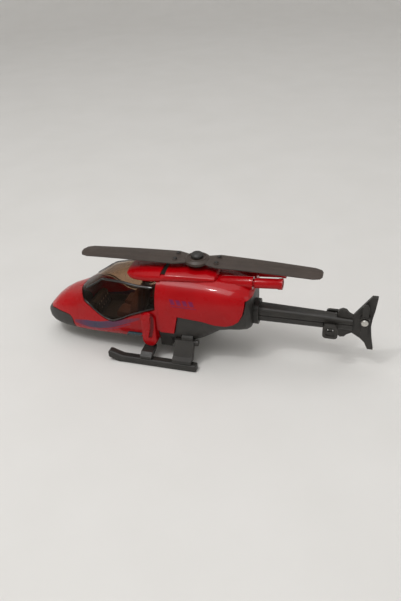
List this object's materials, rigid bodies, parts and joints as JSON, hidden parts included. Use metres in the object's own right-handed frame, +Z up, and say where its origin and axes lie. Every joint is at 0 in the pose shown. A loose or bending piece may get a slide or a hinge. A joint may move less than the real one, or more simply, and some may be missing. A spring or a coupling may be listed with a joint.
{
  "type": "helicopter scale model",
  "caption": "Small die-cast helicopter model: enamelled shell on a plastic chassis with tinted canopy, tail boom, skids, and main and tail rotors that spin by hand.",
  "frame": {"origin": "on the main rotor's axis, at the level of the skids' undersides, which is the middle of the model's footprint box", "axes": "+X towards the nose, +Y to the model's left, +Z up along the rotor mast"},
  "size_m": [0.1392, 0.0382, 0.0446],
  "materials": {
    "red_enamel": "glossy red enamel over die-cast zinc",
    "red_plastic": "glossy red plastic, a little lighter in gloss than the enamel",
    "smoked_canopy": "clear smoke-tinted plastic, glossy",
    "black_plastic": "charcoal moulded plastic, satin",
    "brown_plastic": "brown moulded plastic, matt",
    "steel": "bright zinc-plated steel"
  },
  "bodies": {
    "airframe": {"body_shell": "red_enamel", "engine_cowling": "red_enamel", "exhaust_left": "red_plastic", "exhaust_right": "red_plastic", "gear_fairing_left": "red_plastic", "gear_fairing_right": "red_plastic", "canopy": "smoked_canopy", "cockpit_tub": "black_plastic", "instrument_panel": "black_plastic", "seat_left": "brown_plastic", "seat_right": "brown_plastic", "chassis": "black_plastic", "tail_boom_upper": "black_plastic", "tail_boom_lower": "black_plastic", "boom_screw_front": "steel", "boom_screw_rear": "steel", "tail_fin": "black_plastic", "stabilizer": "black_plastic", "end_plate_left": "black_plastic", "end_plate_right": "black_plastic", "rotor_mast": "steel", "mast_bushing": "black_plastic", "rotor_cap": "black_plastic", "tail_rotor_pin": "steel", "chassis_screw_front": "steel", "chassis_screw_rear": "steel", "skid_left": "black_plastic", "skid_right": "black_plastic", "front_strut_left": "black_plastic", "front_strut_right": "black_plastic", "rear_strut_left": "black_plastic", "rear_strut_right": "black_plastic"},
    "main_rotor": {"main_rotor": "black_plastic"},
    "tail_rotor": {"tail_rotor": "black_plastic"}
  },
  "joints": [
    {"name": "main_rotor_spin", "type": "hinge", "parent": "airframe", "child": "main_rotor", "pos_m": [0, 0, 0.0415], "axis": [0, 0, 1], "continuous": true},
    {"name": "tail_rotor_spin", "type": "hinge", "parent": "airframe", "child": "tail_rotor", "pos_m": [-0.066, 0.00325, 0.0238], "axis": [0, 1, 0], "continuous": true}
  ]
}
